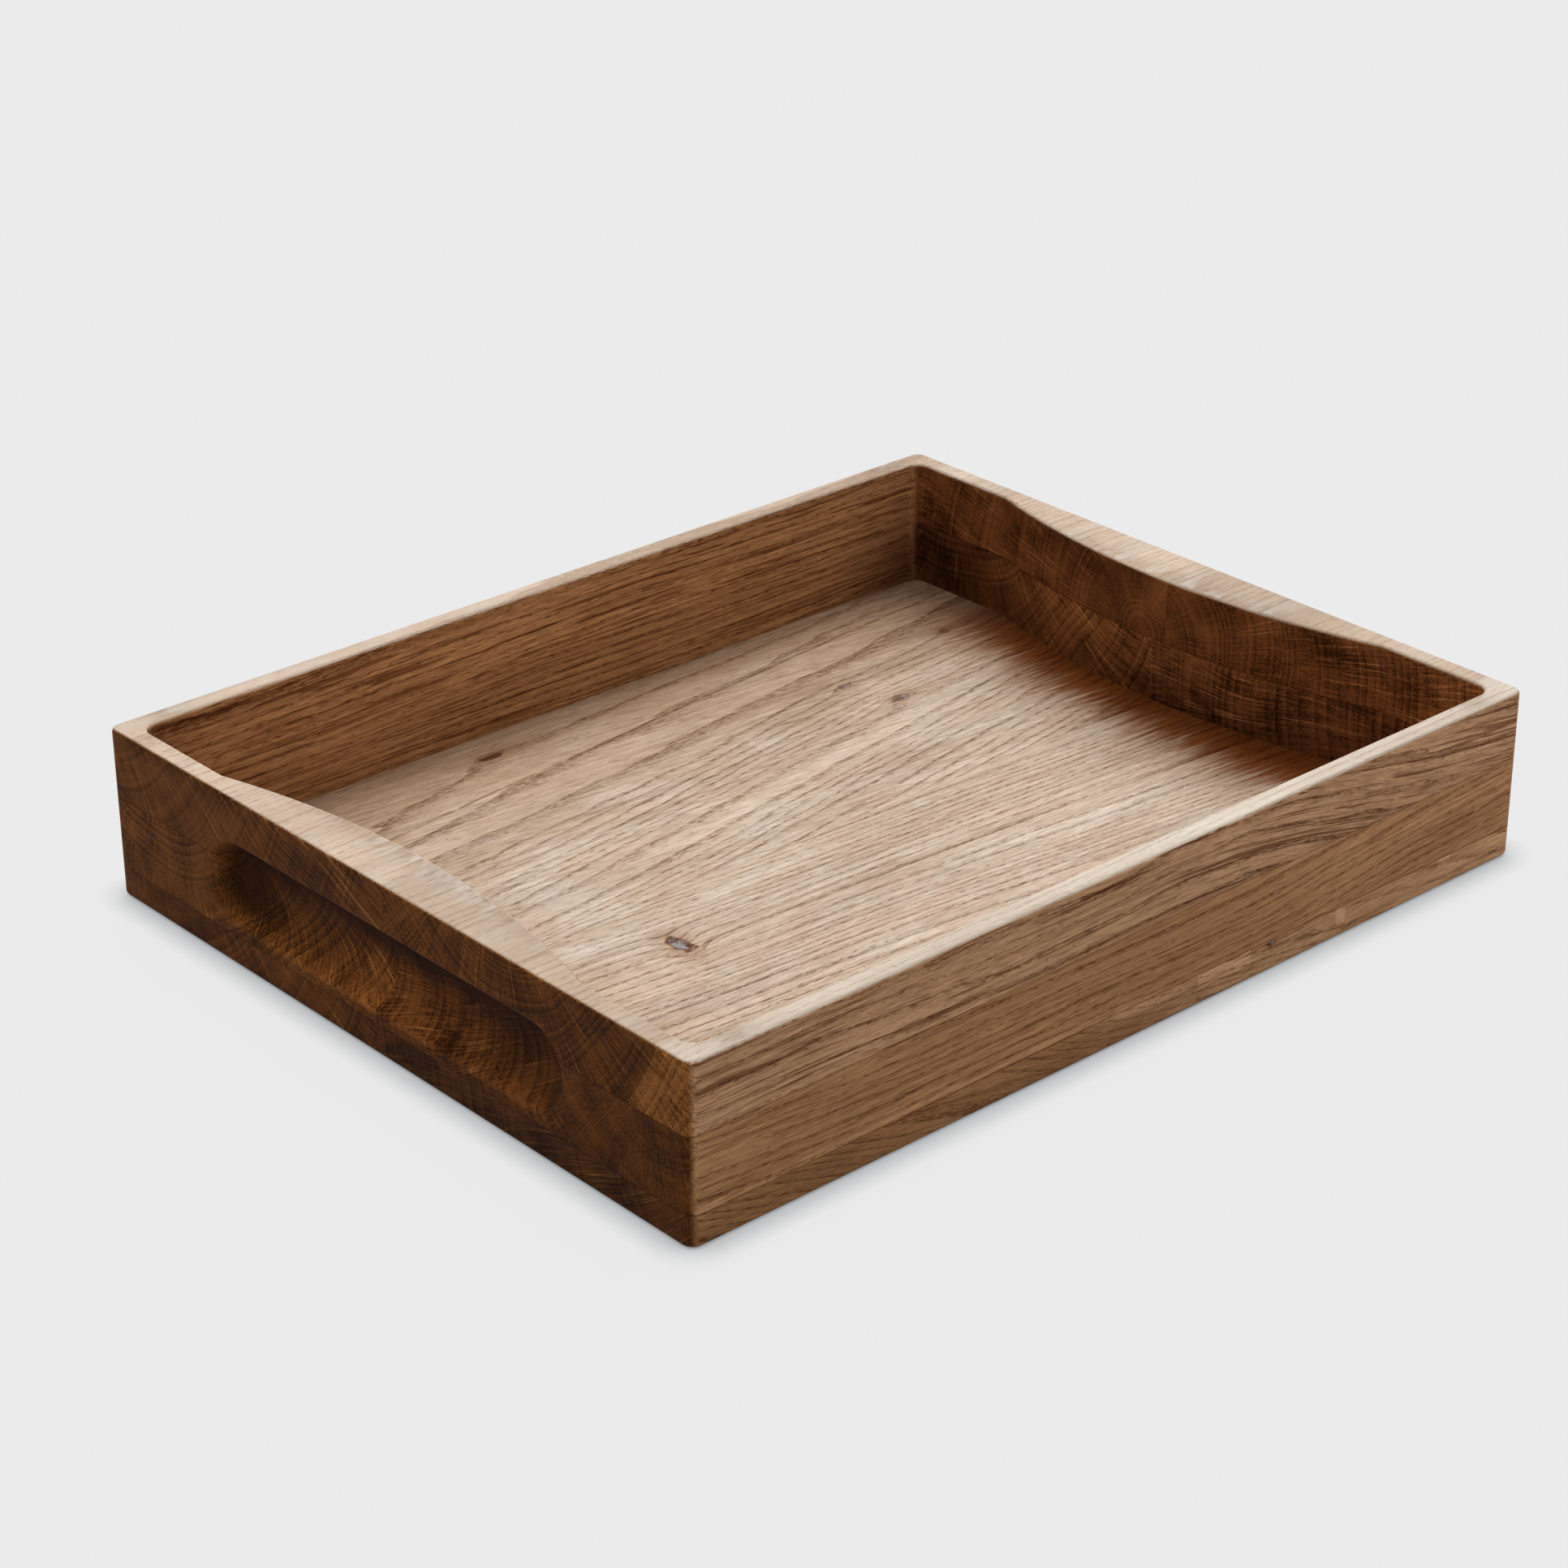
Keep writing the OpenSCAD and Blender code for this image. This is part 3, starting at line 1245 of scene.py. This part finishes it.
@dataclass(frozen=True)
class Camera:
    """Camera at the photograph's viewing angle."""

    place: Triple = (-0.707263, -0.777113, 0.551114)
    right: Triple = (0.745985, -0.665955, -0.003268)
    forward: Triple = (0.595748, 0.669519, -0.443655)
    lens_mm: float = 87.0
    sensor_mm: float = 36.0

    def build(self) -> bpy.types.Object:
        """Sets the camera up.

        Returns:
            The camera's object.
        """
        optics = bpy.data.cameras.new("studio_camera")
        optics.lens = self.lens_mm
        optics.sensor_width = self.sensor_mm
        camera = bpy.data.objects.new("studio_camera", optics)
        right, forward = Vector(self.right), Vector(self.forward)
        turn = Matrix((right, right.cross(forward), -forward)).transposed()
        camera.matrix_world = Matrix.Translation(self.place) @ turn.to_4x4()
        bpy.context.scene.collection.objects.link(camera)
        bpy.context.scene.camera = camera
        return camera


@dataclass(frozen=True)
class Studio:
    """Floor, light and camera round the tray."""

    floor: StudioFloor = StudioFloor()
    key: Lamp = Lamp("key_lamp", come_from=(0.62, 0.40, 1.0), spread_degrees=54.0, level=0.87)
    soft: Lamp = Lamp("soft_lamp", come_from=(-0.75, -0.55, 0.42), spread_degrees=110.0, level=0.10)
    camera: Camera = Camera()
    fill: float = 0.30
    backdrop: float = 0.823

    def _world(self) -> None:
        """Even fill light, and a pale backdrop where the camera or a reflection sees past the floor."""
        world = bpy.data.worlds.new("studio_world")
        bpy.context.scene.world = world
        world.use_nodes = True
        bench = Bench(world.node_tree)
        background = world.node_tree.nodes["Background"]
        bench.paint(background.inputs["Color"], WHITE)
        bench.feed(background.inputs["Strength"], bench.seen().between(self.fill, self.backdrop))

    def build(self) -> None:
        """Builds the studio and reports its pieces."""
        bpy.context.scene.view_settings.view_transform = "Standard"
        self._world()
        for piece in (self.floor, self.key, self.soft, self.camera):
            LOG.info("built %s", piece.build().name)


# Top colour of the long grain, paler than its sides by a painted sheen of the light from above.
LONG_TOP_WITH_SHEEN: Colour = (0.55, 0.42, 0.31)
SAP_TONES = Tones(side=(0.61, 0.34, 0.18), top=(0.69, 0.585, 0.47), end=(0.30, 0.115, 0.037))
SAP_BAND_TONES = Tones(side=(0.72, 0.405, 0.208), top=LONG_TOP_WITH_SHEEN, end=(0.105, 0.0385, 0.0135))

FLAKE_TINT: Colour = (1.28, 1.34, 1.42)
EDGE_TINT: Colour = (1.26, 1.31, 1.38)
# Painted light on the end grain inside the tray, by stave.
INNER_PAINTED_LIGHT: Colour = (1.33, 1.42, 1.51)
BACK_INNER_PAINTED_LIGHT: Colour = (1.13, 1.13, 1.16)
# Painted light on the sides of the front staves, growing towards the lit far end.
FAR_PAINTED_LIGHT: Colour = (1.135, 1.13, 1.15)
FAR_LIGHT_PATCH = Patch(middle_mm=(170.0, 28.5), half_mm=(0.0, 30.0), soft_mm=(160.0, 1.0), tint=FAR_PAINTED_LIGHT)
BACK_LINE = GrowthLine(
    y_mm=98.0,
    lean=0.085,
    wide_mm=(0.2, 0.9),
    dash=Figure(5.0, 0.7, 0.7, 1.0),
    dash_range=(0.36, 0.52),
    shade=(0.55, 0.45, 0.38),
)

BOTTOM_FRONT_OAK = Wood(
    Growth(
        along=Pith(y_mm=-136.0, z_mm=-73.0, lean_z=-0.15),
        across=Pith(y_mm=-170.0, z_mm=40.0),
        ring_mm=3.6,
        seed=11.3,
        bend=Bend(from_mm=20.0, full_mm=-60.0, lean=-0.13),
    ),
    Tones(side=(0.47, 0.232, 0.100), top=LONG_TOP_WITH_SHEEN, end=(0.105, 0.0385, 0.0135)),
    Strength(side=0.9, veins=0.4),
    knots=(Knot(x_mm=56.7, across_mm=9.5, long_mm=3.6, wide_mm=1.6, depth=1.0, in_side=True),),
    sapwood=Sapwood(from_mm=82.5, blend_mm=8.0, tones=SAP_BAND_TONES),
    patches=(
        Patch(middle_mm=(36.0, 8.2), half_mm=(11.0, 2.2), soft_mm=(0.7, 0.5), tint=FLAKE_TINT),
        Patch(middle_mm=(88.0, 7.5), half_mm=(1.6, 2.6), soft_mm=(0.9, 0.8), tint=FLAKE_TINT),
        Patch(middle_mm=(136.0, 9.5), half_mm=(2.6, 1.2), soft_mm=(0.9, 0.6), tint=FLAKE_TINT),
        FAR_LIGHT_PATCH,
    ),
)
BOTTOM_BACK_OAK = Wood(
    Growth(
        along=Pith(y_mm=120.0, z_mm=60.0),
        across=Pith(y_mm=120.0, z_mm=60.0),
        ring_mm=3.4,
        seed=23.1,
    ),
    Tones(side=(0.50, 0.26, 0.12), top=LONG_TOP_WITH_SHEEN, end=(0.155, 0.054, 0.018)),
)
MIDDLE_FRONT_OAK = Wood(
    Growth(
        along=Pith(y_mm=-125.0, z_mm=55.0, lean_y=-0.08),
        across=Pith(y_mm=-142.5, z_mm=42.5, lean_y=-0.11, lean_z=-0.08),
        ring_mm=3.2,
        seed=37.7,
        fibre_lean=-0.06,
        bend=Bend(from_mm=10.0, full_mm=120.0, lean=0.06),
    ),
    Tones(side=(0.56, 0.285, 0.13), top=LONG_TOP_WITH_SHEEN, end=(0.13, 0.045, 0.0145)),
    Strength(side=0.92, veins=0.45),
    knots=(Knot(x_mm=-78.0, across_mm=-23.0, long_mm=6.0, wide_mm=11.0, depth=1.0, pull=1.0),),
    patches=(
        Patch(middle_mm=(-85.0, 10.5), half_mm=(85.0, 1.8), soft_mm=(25.0, 0.8), tint=EDGE_TINT),
        FAR_LIGHT_PATCH,
    ),
    inner_painted_light=INNER_PAINTED_LIGHT,
)
MIDDLE_BACK_OAK = Wood(
    Growth(
        along=Pith(y_mm=130.0, z_mm=122.0, lean_y=0.13),
        across=Pith(y_mm=110.0, z_mm=72.0),
        ring_mm=3.2,
        seed=41.9,
        fibre_lean=-0.08,
    ),
    Tones(side=(0.45, 0.225, 0.097), top=LONG_TOP_WITH_SHEEN, end=(0.172, 0.061, 0.0185)),
    Strength(side=1.2, veins=0.8),
    knots=(
        Knot(x_mm=89.0, across_mm=58.0, long_mm=8.0, wide_mm=5.0, depth=0.8, pull=1.0),
        Knot(x_mm=81.0, across_mm=77.5, long_mm=5.0, wide_mm=3.0, depth=0.7, pull=0.6),
        Knot(x_mm=-41.0, across_mm=114.0, long_mm=10.0, wide_mm=3.5, depth=0.9, pull=0.3, grey=0.0),
        Knot(x_mm=137.5, across_mm=88.0, long_mm=4.5, wide_mm=4.5, depth=0.5, pull=0.3, grey=0.0),
    ),
    line=BACK_LINE,
    inner_painted_light=INNER_PAINTED_LIGHT,
)
TOP_FRONT_OAK = Wood(
    Growth(
        along=Pith(y_mm=-51.0, z_mm=87.0),
        across=Pith(y_mm=-22.3, z_mm=60.7, lean_y=0.179, lean_z=-0.166),
        ring_mm=2.6,
        seed=53.5,
        bend=Bend(from_mm=-10.0, full_mm=130.0, lean=-0.13),
    ),
    Tones(side=(0.62, 0.325, 0.155), top=LONG_TOP_WITH_SHEEN, end=(0.155, 0.054, 0.0165)),
    Strength(side=1.15, top=0.32, veins=1.0),
    sapwood=Sapwood(from_mm=80.0, blend_mm=1.5, tones=SAP_TONES, far_blend_mm=70.0),
    patches=(FAR_LIGHT_PATCH,),
)
TOP_BACK_OAK = Wood(
    Growth(
        along=Pith(y_mm=140.0, z_mm=100.0, lean_y=0.01),
        across=Pith(y_mm=70.6, z_mm=66.9, lean_y=-0.431, lean_z=-0.207),
        ring_mm=3.0,
        seed=67.3,
    ),
    Tones(side=(0.50, 0.252, 0.109), top=(0.65, 0.50, 0.375), end=(0.145, 0.051, 0.0160)),
    Strength(side=1.25, top=0.35, veins=1.0),
    inner_painted_light=BACK_INNER_PAINTED_LIGHT,
)

STAVES = (
    Stave(Layer.BOTTOM, Side.FRONT, BOTTOM_FRONT_OAK),
    Stave(Layer.BOTTOM, Side.BACK, BOTTOM_BACK_OAK),
    Stave(Layer.MIDDLE, Side.FRONT, MIDDLE_FRONT_OAK),
    Stave(Layer.MIDDLE, Side.BACK, MIDDLE_BACK_OAK),
    Stave(Layer.TOP, Side.FRONT, TOP_FRONT_OAK),
    Stave(Layer.TOP, Side.BACK, TOP_BACK_OAK),
)


def main() -> None:
    """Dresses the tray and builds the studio."""
    logging.basicConfig(level=logging.INFO)
    Tray(OakFinish(), STAVES).dress()
    Studio().build()


if __name__ == "__main__":
    main()
